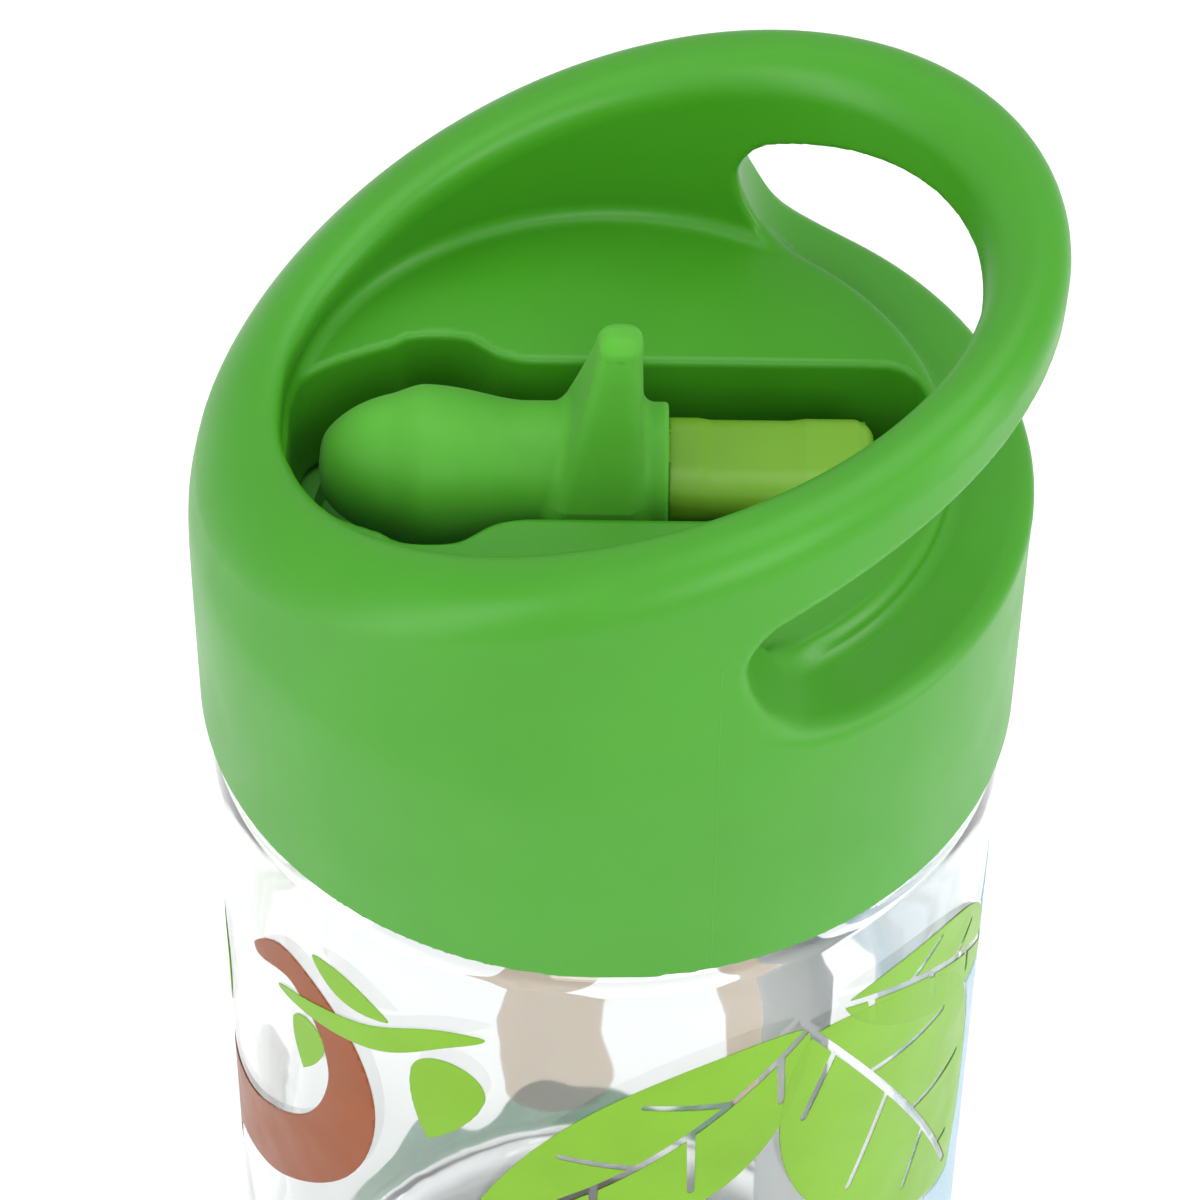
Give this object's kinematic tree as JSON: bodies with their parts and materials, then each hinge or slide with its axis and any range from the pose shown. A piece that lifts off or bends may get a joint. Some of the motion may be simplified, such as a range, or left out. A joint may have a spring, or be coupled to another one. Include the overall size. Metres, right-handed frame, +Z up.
{
  "type": "water bottle",
  "caption": "Child's clear drinking bottle with a screw-on green lid, a carrying loop moulded into the lid, and a flip-up spout with a soft mouthpiece and a straw.",
  "frame": {"origin": "middle of the base, on the surface the bottle stands on", "axes": "+Z up along the bottle's axis; +X from the mouthpiece towards the spout's hinge and the high side of the carrying loop; +Y across the spout, along the hinge pins"},
  "size_m": [0.0736, 0.0722, 0.1748],
  "materials": {
    "clear_body": "glossy clear copolyester",
    "lid_green": "satin moulded polypropylene",
    "cap_green": "satin moulded polypropylene",
    "spout_lime": "satin moulded polypropylene",
    "green_silicone": "matte silicone rubber",
    "pale_silicone": "matte silicone rubber",
    "straw_clear": "translucent natural polyethylene"
  },
  "bodies": {
    "bottle": {"bottle_body": "clear_body"},
    "lid_ring": {"lid_gasket": "pale_silicone"},
    "lid": {"lid_shell": "lid_green", "inner_cap": "cap_green", "spout_seal": "pale_silicone", "vent_valve": "pale_silicone", "straw": "straw_clear"},
    "spout": {"spout_arm": "spout_lime", "mouthpiece": "green_silicone"}
  },
  "joints": [
    {"name": "lid_turn", "type": "hinge", "parent": "lid_ring", "child": "lid", "pos_m": [0, 0, 0.12], "axis": [0, 0, 1], "range_deg": [0, 540]},
    {"name": "lid_rise", "type": "slide", "parent": "bottle", "child": "lid_ring", "axis": [0, 0, 1], "range_m": [0, 0.006]},
    {"name": "spout_flip", "type": "hinge", "parent": "lid", "child": "spout", "pos_m": [0.019, 0, 0.1396], "axis": [0, 1, 0], "range_deg": [0, 90]}
  ],
  "couplings": [
    {"joint": "lid_rise", "follows": "lid_turn", "m_per_rad": 0.0006366}
  ]
}
